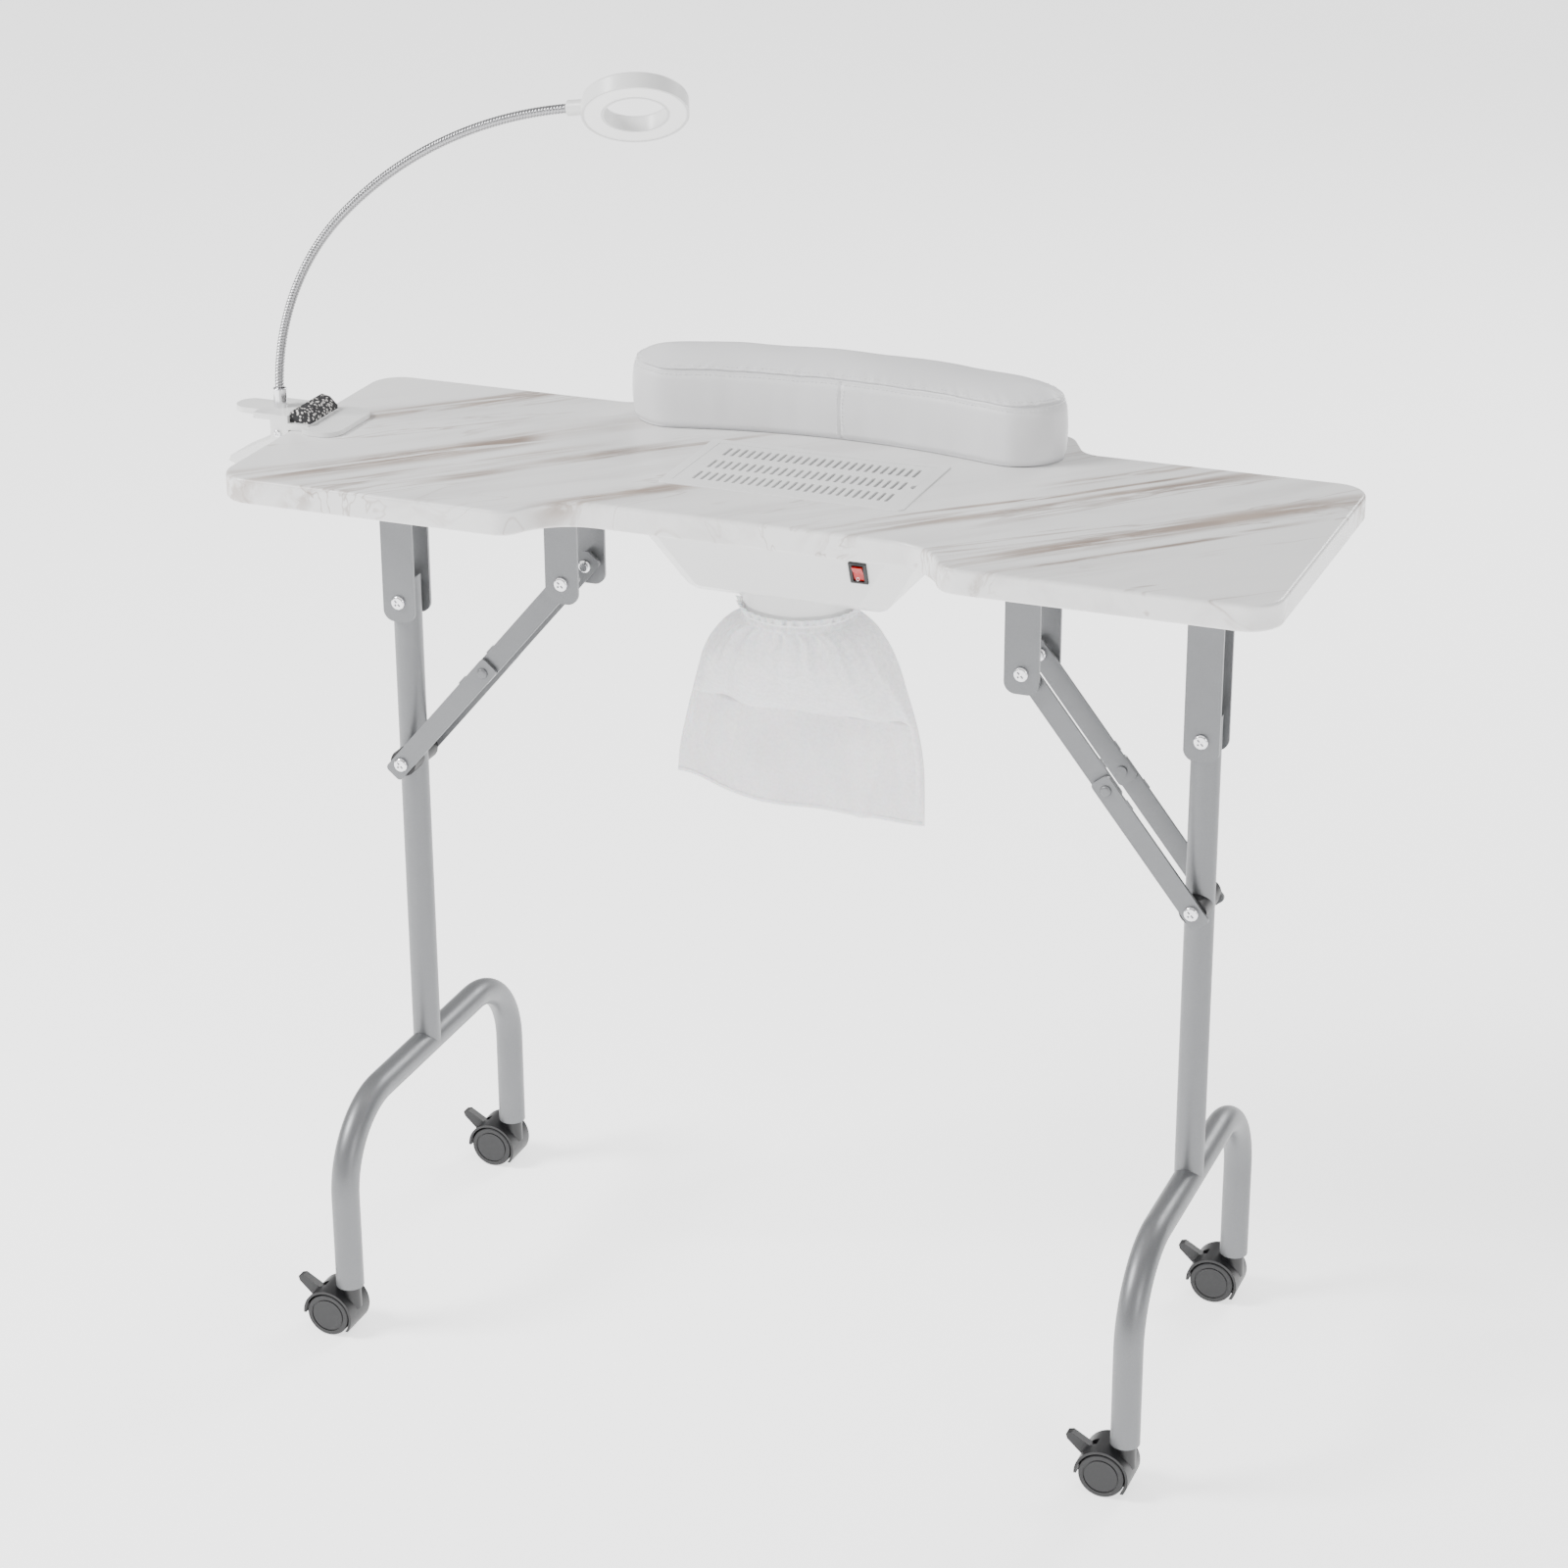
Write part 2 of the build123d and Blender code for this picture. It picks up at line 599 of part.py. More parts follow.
# ------------------------------------------------------------------ casters
def caster_parts():
    """Hood with stem, twin wheel with axle, and brake lever, about the stem's axis."""
    wx, wz, half = -CASTER_TRAIL, WHEEL_R, CASTER_HALF
    hood = cylinder_y(HOOD_R, -half, half, wx, wz)
    hood += cylinder_z(9.5, wz + 4, FOOT_END_Z - 0.4)
    hood -= block(wx - 40, wx + 60, -50, 50, -20, wz - 13)
    hood -= block(wx - 40, wx - 8, -50, 50, -20, wz - 1)
    for s in (-1, 1):
        hood -= cylinder_y(WHEEL_R + 1.2, s * (WHEEL_IN - 0.9), s * (half + 1), wx, wz)
    hood += cylinder_z(STEM_R, FOOT_END_Z - 1, FOOT_END_Z + 20)
    hood -= cylinder_y(AXLE_R + RUNNING, -50, 50, wx, wz)

    pin = (wx - 15.0, wz + 11.0)
    hood -= block(wx - 40, wx - 8, -4.2, 4.2, wz - 2.0, wz + 26)
    hood -= cylinder_y(2.0 + RUNNING, -50, 50, *pin)
    lever_line = Polyline(
        (-12.0, 3.0), (-17.0, 5.0), (-34.0, 21.0), (-35.5, 26.0), (-30.0, 27.5), (-10.0, 16.0), close=True
    )
    lever = extrude(Plane.XZ * make_face(lever_line), 3.8, both=True)
    lever = Pos(wx, 0, wz) * lever
    lever = fillet(lever.edges().filter_by(Axis.Y).group_by(Axis.X)[0], 1.5)
    lever += cylinder_y(2.0, -6.0, 6.0, *pin)

    wheels = cylinder_y(AXLE_R, -WHEEL_OUT + 1, WHEEL_OUT - 1, wx, wz)
    for s in (-1, 1):
        disc = cylinder_y(WHEEL_R, s * WHEEL_IN, s * WHEEL_OUT, wx, wz)
        disc = fillet(disc.edges().filter_by(GeomType.CIRCLE), 1.6)
        groove = cylinder_y(15.5, s * (WHEEL_OUT - 0.8), s * (WHEEL_OUT + 1), wx, wz)
        groove -= cylinder_y(14.3, s * (WHEEL_OUT - 2), s * (WHEEL_OUT + 2), wx, wz)
        wheels += disc - groove
    return hood, wheels, lever


# ------------------------------------------------------------------ cushion
def cushion_outline():
    """Crescent plan: hollow front edge, bowed back edge, round ends."""
    rear = Spline(*CUSHION_REAR, tangents=[(1, 0.32), (-1, 0)])
    face = make_face(ThreePointArc(*CUSHION_FRONT) + rear + mirror(rear, about=Plane.YZ))
    return fillet(face.vertices().sort_by(Axis.Y)[:2], 16.0)


def board():
    """Stiffening board let into the cushion's underside."""
    front = ThreePointArc((-145, 100), (0, 123), (145, 100))
    right = ThreePointArc((145, 100), (184, 130), (170, 155))
    back = ThreePointArc((170, 155), (0, 187), (-170, 155))
    left = mirror(right, about=Plane.YZ)
    return Pos(0, 0, TABLE_Z + CUSHION_GAP + 1.5) * extrude(make_face(front + right + back + left), 6.0)


def cushion_pad():
    pad = Pos(0, 0, TABLE_Z + CUSHION_GAP) * extrude(cushion_outline(), CUSHION_H)
    return pad - board()


# ------------------------------------------------------------------ lamp
def upper_jaw():
    """Handle, deck and cheeks outside the edge, and a wide plate on the table."""
    px, pz = CLAMP_PIN
    handle = extrude(Plane.XY * (Pos(-489, 0) * RectangleRounded(44, 28, 13.5)), 5.0)
    jaw = Pos(0, 0, 795.3) * handle
    jaw += block(-484, -451, -24, 24, 795.3, 800.3)
    for low, high in ((20.2, 24), (-24, -20.2)):
        jaw += block(-468, -451, low, high, pz - 9, 797)
    jaw += block(-452, -432, -24, 32, TABLE_Z + 0.3, 794)
    jaw += block(-456, -451, -24, 24, 790, 800.3)
    plate = extrude(Plane.XY * (Pos(-420, 5) * RectangleRounded(38, 76, 15)), 4.2)
    jaw += Pos(0, 0, TABLE_Z + 0.3) * plate
    jaw -= cylinder_y(2.0, -60, 60, px, pz)
    return jaw


def lower_jaw():
    """Plate under the table, web outside the edge, and the lower handle."""
    px, pz = CLAMP_PIN
    line = Polyline(
        (-410, UNDER_Z - 0.3), (-451.5, UNDER_Z - 0.3), (-452.5, 786), (-466, 788), (-469, 778),
        (-512, 757), (-514, 752), (-508, 750), (-462, 766), (-452, 761.5), (-410, 761.5), close=True,
    )
    jaw = extrude(Plane.XZ * make_face(line), 18.0, both=True)
    jaw -= cylinder_y(2.0 + RUNNING, -60, 60, px, pz)
    jaw -= cylinder_y(7.2, -12.5, 12.5, px, pz)
    return jaw


def clamp_spring():
    """Torsion spring's coils round the pin."""
    px, pz = CLAMP_PIN
    coils = [Pos(px, y, pz) * Rot(90, 0, 0) * Torus(4.6, 1.0) for y in (-10, -7, -4, -1, 2, 5, 8, 11)]
    return group(coils)


def clamp_pin():
    px, pz = CLAMP_PIN
    pin = cylinder_y(2.0, -24, 24, px, pz)
    return pin + pan_head(-24, -1, px, pz, 3.4, 1.8)


def clamp_foam():
    """Dark foam grip on the front of the jaw."""
    line = Polyline((-450.8, 794.2), (-450.8, 802), (-446, 806), (-438, 804), (-431, 797), (-431, 794.2), close=True)
    foam = Pos(0, 5, 0) * extrude(Plane.XZ * make_face(line), 25, both=True)
    return fillet(foam.edges().filter_by(Axis.Y).group_by(Axis.Z)[-1], 2.5)


def ferrule():
    low, high = FERRULE_Z
    tube = cylinder_z(5.8, low, high, FERRULE_X)
    tube = fillet(tube.edges().group_by(Axis.Z)[-1], 0.8)
    return tube - cylinder_z(NECK_R + RUNNING, low + 2, high + 1, FERRULE_X)


def arm_path():
    """Straight start in the ferrule, then two arcs that flatten towards the head."""
    x, z = FERRULE_X, FERRULE_Z[1]
    path = Line((x, FERRULE_Z[0] + 2.2), (x, z))
    heading = 90.0
    straight = (x, z)
    arcs = [(90.0, ARM_ARCS[0][0], 120.0), *ARM_ARCS]
    point = straight
    for begin, end, radius in arcs:
        b = math.radians(begin)
        centre = (point[0] + radius * math.sin(b), point[1] - radius * math.cos(b))
        path += CenterArc(centre, radius, begin + heading, end - begin)
        e = math.radians(end)
        point = (centre[0] - radius * math.sin(e), centre[1] + radius * math.cos(e))
    return path, point


def gooseneck():
    path, _ = arm_path()
    wire = Plane.XZ * path
    start = Plane(origin=(FERRULE_X, 0, FERRULE_Z[0] + 2.2), x_dir=(1, 0, 0), z_dir=(0, 0, 1))
    return sweep(start * Circle(NECK_R), path=wire)


def neck_plane():
    """Frame at the gooseneck's end, z along its last heading."""
    _, (x, z) = arm_path()
    e = math.radians(ARM_ARCS[-1][1])
    return Plane(origin=(x, 0, z), x_dir=(0, 1, 0), z_dir=(math.cos(e), 0, math.sin(e)))


def ring_plane():
    """Frame at the ring's middle, z out of its lit face."""
    a, t = math.radians(RING_AZIMUTH), math.radians(RING_TILT)
    toward = (math.sin(a), -math.cos(a))
    normal = (toward[0] * math.sin(t), toward[1] * math.sin(t), -math.cos(t))
    return Plane(origin=RING_CENTRE, x_dir=(math.cos(a), math.sin(a), 0), z_dir=normal)


def ring_housing():
    """Ring shell with a groove for the diffuser and a short neck over the gooseneck's end."""
    h = RING_H / 2
    ring = Cylinder(RING_R, RING_H) - Cylinder(RING_HOLE_R, RING_H + 2)
    ring = fillet(ring.edges().filter_by(GeomType.CIRCLE).group_by(Axis.Z)[0], 2.5)
    groove = Cylinder(RING_R - 2.2, 9) - Cylinder(RING_HOLE_R + 2.2, 20)
    ring -= Pos(0, 0, h - 2.5) * groove
    ring = ring_plane() * ring
    neck = neck_plane() * (Pos(0, 0, 4.0) * Cylinder(6.6, 18))
    hole = Plane(RING_CENTRE, x_dir=ring_plane().x_dir, z_dir=ring_plane().z_dir)
    neck -= hole * Cylinder(RING_R - 1.5, 60)
    neck -= neck_plane() * (Pos(0, 0, -20.0) * Cylinder(NECK_R + RUNNING, 40.4))
    return ring + neck


def ring_diffuser():
    plate = Cylinder(RING_R - 2.3, 2.0) - Cylinder(RING_HOLE_R + 2.3, 6)
    return ring_plane() * (Pos(0, 0, RING_H / 2 - 1.2) * plate)


# ------------------------------------------------------------------ write the nodes
def main():
    os.makedirs("parts", exist_ok=True)
    save("table_top", table_top())
    save("grille_frame", grille_frame())
    save("grille_panel", grille_panel())
    save("filter_pad", filter_pad())
    save("collector_box", collector_box())
    save("collar", collar())
    save("fan_frame", fan_frame())
    save("fan_impeller", impeller())
    save("fan_guard", fan_guard())
    save("switch_bezel", switch_bezel())
    save("switch_rocker", switch_rocker())
    save("power_inlet", power_inlet())
    save("collector_screws", group([wood_screw(x, y, UNDER_Z - 2.6) for x, y in housing_screw_places()]))
    save("dust_bag", dust_bag())
    save("bag_elastic", bag_elastic())
    save("bracket_screws", group([wood_screw(x, y, UNDER_Z - PLATE_T) for x, y in screw_places()]))

    hood, wheels, lever = caster_parts()
    for side in SIDES:
        (x, z), _, (ix, iz), _ = ring_points(side)
        save(f"{side}_outer_bracket", bracket(x, z, OUTER_GAP, BOLT_R))
        save(f"{side}_inner_bracket", bracket(ix, iz, INNER_GAP, BRACE_BOLT_R))
        save(f"{side}_pivot_bolt", pivot_bolt(side))
        save(f"{side}_brace_top_bolts", brace_top_bolts(side))
        save(f"{side}_brace_upper_bars", brace_bars(side, "upper"))
        save(f"{side}_brace_lower_bars", brace_bars(side, "lower"))
        save(f"{side}_brace_foot_bolt", brace_foot_bolt(side))
        save(f"{side}_brace_spacers", brace_spacers(side))
        save(f"{side}_post", post(side))
        save(f"{side}_foot_tube", foot_tube(side))
        for end, s in (("front", -1), ("back", 1)):
            place = Pos(x, LEG_Y + s * FOOT_HALF, 0)
            save(f"{side}_{end}_caster_hood", place * hood)
            save(f"{side}_{end}_caster_wheels", place * wheels)
            save(f"{side}_{end}_caster_lever", place * lever)

    save("cushion_pad", cushion_pad())
    save("cushion_board", board())
    save("clamp_upper_jaw", upper_jaw())
    save("clamp_lower_jaw", lower_jaw())
    save("clamp_spring", clamp_spring())
    save("clamp_pin", clamp_pin())
    save("clamp_foam", clamp_foam())
    save("lamp_ferrule", ferrule())
    save("lamp_gooseneck", gooseneck())
    save("lamp_ring_housing", ring_housing())
    save("lamp_diffuser", ring_diffuser())


main()
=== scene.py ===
import bpy
import json
import math
import numpy as np
from mathutils import Matrix, Vector


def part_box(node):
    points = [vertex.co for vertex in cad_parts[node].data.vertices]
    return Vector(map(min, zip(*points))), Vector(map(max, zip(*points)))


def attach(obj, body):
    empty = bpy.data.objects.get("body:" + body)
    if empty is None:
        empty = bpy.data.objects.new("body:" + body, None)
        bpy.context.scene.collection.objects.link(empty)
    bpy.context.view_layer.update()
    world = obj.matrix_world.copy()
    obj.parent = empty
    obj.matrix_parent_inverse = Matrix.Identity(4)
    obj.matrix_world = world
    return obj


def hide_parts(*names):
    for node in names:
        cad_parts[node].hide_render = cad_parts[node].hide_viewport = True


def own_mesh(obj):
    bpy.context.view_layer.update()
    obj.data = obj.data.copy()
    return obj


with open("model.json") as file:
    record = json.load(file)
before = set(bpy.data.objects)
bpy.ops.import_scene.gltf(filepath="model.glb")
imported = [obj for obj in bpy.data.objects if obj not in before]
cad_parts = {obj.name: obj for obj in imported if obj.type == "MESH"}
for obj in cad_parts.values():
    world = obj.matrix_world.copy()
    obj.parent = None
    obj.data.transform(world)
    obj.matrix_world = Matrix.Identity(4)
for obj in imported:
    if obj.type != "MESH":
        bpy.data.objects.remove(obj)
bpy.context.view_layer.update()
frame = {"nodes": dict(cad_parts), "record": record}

NODES = frame["nodes"]
JOINTS = {j["name"]: j for j in frame["record"]["behaviour"]["joints"]}
TAU = 2 * math.pi


# ---------------------------------------------------------------- shader maths
def add_node(tree, kind, settings, sockets, output=0):
    """A shader node: its settings are set first, then the values or links of its sockets."""
    node = tree.nodes.new("ShaderNode" + kind)
    for key, value in settings.items():
        setattr(node, key, value)
    for key, value in sockets.items():
        if isinstance(value, Socket):
            tree.links.new(value.out, node.inputs[key])
        else:
            node.inputs[key].default_value = value
    return Socket(tree, node.outputs[output])


class Socket:
    """A shader value that adds Math nodes when it is used in arithmetic."""

    def __init__(self, tree, out):
        self.tree, self.out = tree, out

    def op(self, name, other=None):
        sockets = {0: self} if other is None else {0: self, 1: other}
        return add_node(self.tree, "Math", {"operation": name}, sockets)

    def __add__(self, other):
        return self.op("ADD", other)

    def __radd__(self, other):
        return self.op("ADD", other)

    def __sub__(self, other):
        return self.op("SUBTRACT", other)

    def __rsub__(self, other):
        return self.op("MULTIPLY", -1.0).op("ADD", other)

    def __mul__(self, other):
        return self.op("MULTIPLY", other)

    def __rmul__(self, other):
        return self.op("MULTIPLY", other)

    def power(self, exponent):
        return self.op("POWER", exponent)

    def abs(self):
        return self.op("ABSOLUTE")

    def most(self, other):
        return self.op("MAXIMUM", other)

    def ramp(self, low, high):
        """0 below low, 1 above high, smooth between."""
        sockets = {"Value": self, "From Min": low, "From Max": high}
        return add_node(self.tree, "MapRange", {"interpolation_type": "SMOOTHSTEP"}, sockets, "Result")


class Paint:
    """A material with a Principled shader, read from Object coordinates in metres."""

    def __init__(self, name, color, rough=0.5, metal=0.0, **fixed):
        self.mat = bpy.data.materials.new(name)
        self.mat.use_nodes = True
        self.tree = self.mat.node_tree
        self.bsdf = self.tree.nodes["Principled BSDF"]
        self.set("Base Color", (*color, 1.0))
        self.set("Roughness", rough)
        self.set("Metallic", metal)
        for key, value in fixed.items():
            self.set(key.replace("_", " "), value)
        self.coord = add_node(self.tree, "TexCoord", {}, {}, "Object")

    def set(self, name, value):
        if isinstance(value, Socket):
            self.tree.links.new(value.out, self.bsdf.inputs[name])
        else:
            self.bsdf.inputs[name].default_value = value

    def mapped(self, scale=(1, 1, 1), turn=(0, 0, 0), base=None):
        """Coordinates that are scaled and then turned."""
        sockets = {"Vector": base or self.coord, "Scale": scale, "Rotation": turn}
        return add_node(self.tree, "Mapping", {}, sockets)

    def axis(self, i, vector=None):
        return add_node(self.tree, "SeparateXYZ", {}, {0: vector or self.coord}, i)

    def noise(self, scale, detail=3.0, rough=0.5, vector=None, warp=0.0):
        sockets = {"Vector": vector or self.coord, "Scale": scale, "Detail": detail,
                   "Roughness": rough, "Distortion": warp}
        return add_node(self.tree, "TexNoise", {}, sockets, "Fac")

    def cells(self, scale):
        return add_node(self.tree, "TexVoronoi", {}, {"Vector": self.coord, "Scale": scale}, "Distance")

    def mix(self, fac, a, b):
        """Colour a where fac is 0 and b where it is 1."""
        a, b = (v if isinstance(v, Socket) else (*v, 1.0) for v in (a, b))
        return add_node(self.tree, "Mix", {"data_type": "RGBA"}, {"Factor": fac, 6: a, 7: b}, 2)

    def bump(self, height, strength, distance):
        sockets = {"Strength": strength, "Distance": distance, "Height": height}
        self.set("Normal", add_node(self.tree, "Bump", {}, sockets))


# ---------------------------------------------------------------- materials
TOP_Z = 0.788
GRAIN_TURN = math.radians(-44)

# Brown streaks, each as its place across the grain, half-width, reach, and place along the grain.
STREAKS = (
    (0.165, 0.024, 0.24, -0.23), (0.286, 0.017, 0.13, -0.16), (0.097, 0.011, 0.13, -0.155),
    (0.122, 0.012, 0.17, -0.23), (-0.006, 0.013, 0.09, -0.12), (0.088, 0.005, 0.13, -0.06),
    (-0.169, 0.013, 0.26, 0.21), (-0.150, 0.004, 0.22, 0.20), (-0.127, 0.008, 0.10, 0.29),
    (-0.262, 0.019, 0.26, 0.25), (-0.295, 0.006, 0.18, 0.20),
)


def marble():
    """White laminate; brown streak bundles and fine grey lines run diagonally across the top."""
    p = Paint("marble_laminate", (0.83, 0.82, 0.81), 0.32, Coat_Weight=0.15, Coat_Roughness=0.2)
    bend = p.noise(2.2, 2.0)
    far = p.mapped(turn=(0, 0, GRAIN_TURN))
    across = p.axis(1, far) + (bend - 0.5) * 0.07 + (p.axis(2) - TOP_Z) * 0.5
    length = p.axis(0, far)
    grain = p.mapped((6.0, 95.0, 60.0), base=far)
    fibre = p.noise(1.0, 6.0, 0.68, grain, 0.7)
    patch = p.noise(1.0, 3.0, 0.5, p.mapped((5.0, 11.0, 8.0), base=far), 0.3)
    brown = None
    for centre, width, reach, mid in STREAKS:
        band = 1 - ((across - centre).abs()).ramp(width * 0.15, width)
        span = 1 - ((length - mid).abs()).ramp(reach * 0.35, reach)
        line = band * span
        brown = line if brown is None else brown.most(line)
    brown = brown.power(0.6) * fibre.ramp(0.36, 0.56) * patch.ramp(0.22, 0.46)
    lines = p.noise(1.0, 4.0, 0.6, p.mapped((1.6, 13.0, 10.0), base=far), 0.9)
    thin = (1 - (lines - 0.5).abs().ramp(0.0, 0.014)) * patch.ramp(0.42, 0.62)
    fog = p.noise(1.0, 5.0, 0.6, p.mapped((4.0, 26.0, 20.0), base=far), 0.4).ramp(0.45, 0.80)
    tint = p.mix(fog * 0.6, (0.78, 0.775, 0.77), (0.55, 0.53, 0.52))
    tint = p.mix(thin * 0.7, tint, (0.36, 0.30, 0.27))
    tone = p.mix(p.noise(14, 2.0).ramp(0.35, 0.65), (0.20, 0.135, 0.10), (0.34, 0.26, 0.21))
    tint = p.mix(brown * 0.95, tint, tone)
    p.set("Base Color", tint)
    p.set("Roughness", 0.30 + 0.08 * p.noise(30, 2.0))
    p.bump(p.noise(900, 2.0), 0.06, 0.0002)
    return p.mat


def plastic(name, color, rough, grain, strength):
    """Moulded plastic with a fine texture, a little dust and uneven gloss."""
    p = Paint(name, color, rough)
    tone = p.noise(9.0, 3.0).ramp(0.3, 0.75)
    p.set("Base Color", p.mix(tone * 0.35, color, tuple(c * 0.93 for c in color)))
    p.set("Roughness", rough - 0.05 + 0.10 * p.noise(40, 3.0))
    p.bump(p.noise(grain, 2.0), strength, 0.0002)
    return p.mat


def powder_coat():
    """Silver-grey powder coat: metallic flake under a soft orange-peel surface."""
    p = Paint("silver_powder_coat", (0.21, 0.214, 0.22), 0.38, 0.6)
    flake = p.cells(2600).ramp(0.0, 0.5)
    p.set("Base Color", p.mix(flake, (0.24, 0.244, 0.25), (0.17, 0.174, 0.18)))
    p.set("Roughness", 0.36 + 0.12 * p.noise(60, 3.0))
    p.bump(p.noise(420, 2.0), 0.10, 0.0003)
    return p.mat


def metal(name, color, rough):
    """Bright plating with light smears."""
    p = Paint(name, color, rough, 1.0)
    p.set("Roughness", rough + 0.10 * p.noise(120, 3.0))
    p.bump(p.noise(700, 2.0), 0.05, 0.0002)
    return p.mat


def leatherette():
    """White leatherette: pebbled grain and slight unevenness."""
    p = Paint("white_leatherette", (0.82, 0.82, 0.83), 0.42, Coat_Weight=0.08, Coat_Roughness=0.3)
    tone = p.noise(5.0, 3.0).ramp(0.3, 0.7)
    p.set("Base Color", p.mix(tone, (0.78, 0.78, 0.79), (0.73, 0.73, 0.74)))
    p.set("Roughness", 0.38 + 0.10 * p.noise(25, 2.0))
    p.bump(p.cells(620) * 0.7 + p.noise(60, 3.0) * 0.8, 0.16, 0.0005)
    return p.mat


def cloth():
    """Thin non-woven cloth: mottled fibres, and see-through where it is thin."""
    p = Paint("nonwoven_cloth", (0.88, 0.88, 0.90), 0.85, Subsurface_Weight=0.25, Subsurface_Scale=0.004)
    fibre = p.noise(260, 5.0, 0.7)
    cloud = p.noise(22, 3.0)
    p.set("Base Color", p.mix(cloud.ramp(0.3, 0.7), (0.90, 0.90, 0.92), (0.83, 0.83, 0.85)))
    p.set("Alpha", 0.62 + 0.22 * fibre.ramp(0.3, 0.7) + 0.08 * cloud)
    p.bump(fibre, 0.2, 0.0004)
    return p.mat


def speckle():
    """Black foam with pale crumbs."""
    p = Paint("speckled_foam", (0.02, 0.02, 0.02), 0.8)
    crumb = p.cells(330)
    p.set("Base Color", p.mix(crumb.ramp(0.30, 0.42), (0.62, 0.60, 0.58), (0.02, 0.02, 0.022)))
    p.set("Roughness", 0.75 + 0.15 * p.noise(90, 2.0))
    p.bump(crumb, 0.5, 0.0008)
    return p.mat


def diffuser():
    """Milky diffuser that glows a little unevenly."""
    p = Paint("milky_diffuser", (0.93, 0.93, 0.92), 0.35, Emission_Strength=0.35)
    p.set("Emission Color", p.mix(p.noise(60, 2.0), (1.0, 1.0, 1.0), (0.93, 0.94, 0.96)))
    p.set("Roughness", 0.33 + 0.06 * p.noise(80, 2.0))
    return p.mat


def board():
    """Raw chipboard."""
    p = Paint("raw_board", (0.45, 0.34, 0.22), 0.8)
    chip = p.noise(1.0, 5.0, 0.7, p.mapped((260, 120, 300)))
    p.set("Base Color", p.mix(chip.ramp(0.3, 0.7), (0.30, 0.21, 0.13), (0.56, 0.43, 0.29)))
    p.bump(chip, 0.3, 0.0004)
    return p.mat


MARBLE = marble()
WHITE = plastic("white_plastic", (0.78, 0.78, 0.775), 0.30, 500, 0.05)
BLACK = plastic("black_nylon", (0.010, 0.010, 0.011), 0.42, 620, 0.22)
DARK = plastic("black_plastic", (0.009, 0.009, 0.010), 0.45, 500, 0.12)
RED = plastic("red_plastic", (0.42, 0.006, 0.005), 0.22, 500, 0.04)
COAT = powder_coat()
CHROME = metal("bright_plating", (0.80, 0.80, 0.82), 0.12)
WIRE = metal("spring_wire", (0.45, 0.45, 0.46), 0.30)
HOSE = metal("plated_hose", (0.40, 0.40, 0.41), 0.24)
LEATHER = leatherette()
CLOTH = cloth()
THREAD = plastic("white_thread", (0.86, 0.86, 0.87), 0.75, 1500, 0.3)
FOAM = speckle()
FILTER = plastic("filter_foam", (0.10, 0.10, 0.11), 0.9, 260, 0.9)
GLOW = diffuser()
BOARD = board()
MARK = plastic("white_mark", (0.85, 0.85, 0.85), 0.5, 800, 0.05)


# ---------------------------------------------------------------- carried-over parts
def material_for(name):
    """The finish of a part that is shown as it was modelled."""
    if name == "table_top":
        return MARBLE
    for words, material in (
        (("grille", "collector_box", "collar", "clamp_upper", "clamp_lower", "ring_housing"), WHITE),
        (("caster",), BLACK),
        (("fan", "bezel", "inlet", "spacers"), DARK),
        (("rocker",), RED),
        (("screws", "bolt", "clamp_pin", "ferrule"), CHROME),
        (("spring",), WIRE),
        (("clamp_foam",), FOAM),
        (("filter",), FILTER),
        (("diffuser",), GLOW),
        (("board",), BOARD),
    ):
        if any(w in name for w in words):
            return material
    return COAT


def dress(name, obj):
    """Gives a carried-over part its finish."""
    obj.data.materials.clear()
    obj.data.materials.append(material_for(name))


for node_name, node_obj in NODES.items():
    dress(node_name, node_obj)


# ---------------------------------------------------------------- mesh helpers
def mesh_object(name, verts, faces, material, smooth=True):
    """A mesh from points and faces; the object stays at the origin."""
    faces = faces.tolist() if isinstance(faces, np.ndarray) else faces
    mesh = bpy.data.meshes.new(name)
    mesh.from_pydata(np.asarray(verts, float).reshape(-1, 3).tolist(), [], faces)
    mesh.validate()
    obj = bpy.data.objects.new(name, mesh)
    bpy.context.scene.collection.objects.link(obj)
    obj.data.materials.append(material)
    mesh.polygons.foreach_set("use_smooth", [smooth] * len(mesh.polygons))
    return obj


def grid_faces(rows, cols, wrap_rows=False, wrap_cols=True):
    """Quads of a grid of rows by cols vertices, closed along either way."""
    r = np.arange(rows if wrap_rows else rows - 1)
    c = np.arange(cols if wrap_cols else cols - 1)
    r, c = np.meshgrid(r, c, indexing="ij")
    r2, c2 = (r + 1) % rows, (c + 1) % cols
    return np.stack([r * cols + c, r * cols + c2, r2 * cols + c2, r2 * cols + c], -1).reshape(-1, 4)


def smoothstep(x, a, b):
    """3 t^2 - 2 t^3, with t from 0 at a to 1 at b."""
    t = np.clip((x - a) / (b - a), 0, 1)
    return t * t * (3 - 2 * t)


def ripple(angle, waves):
    """Sum of cosines of the angle: waves is a list of (count, size, phase)."""
    return sum(size * np.cos(count * angle + phase) for count, size, phase in waves)


# ---------------------------------------------------------------- cushion
def curve_through(points, start, end, count):
    """Cubic pieces through points, sloped like their neighbours, with the given end directions."""
    p = np.array(points, float)
    chord = np.linalg.norm(np.diff(p, axis=0), axis=1)
    slope = np.gradient(p, np.concatenate([[0], np.cumsum(chord)]), axis=0)
    slope[0] = np.array(start) / np.linalg.norm(start)
    slope[-1] = np.array(end) / np.linalg.norm(end)
    t = np.linspace(0, 1, count)[:-1, None]
    pieces = []
    for k, c in enumerate(chord):
        a, b, u, v = p[k], p[k + 1], slope[k] * c, slope[k + 1] * c
        pieces.append((2 * t**3 - 3 * t**2 + 1) * a + (t**3 - 2 * t**2 + t) * u
                      + (-2 * t**3 + 3 * t**2) * b + (t**3 - t**2) * v)
    return np.concatenate(pieces)


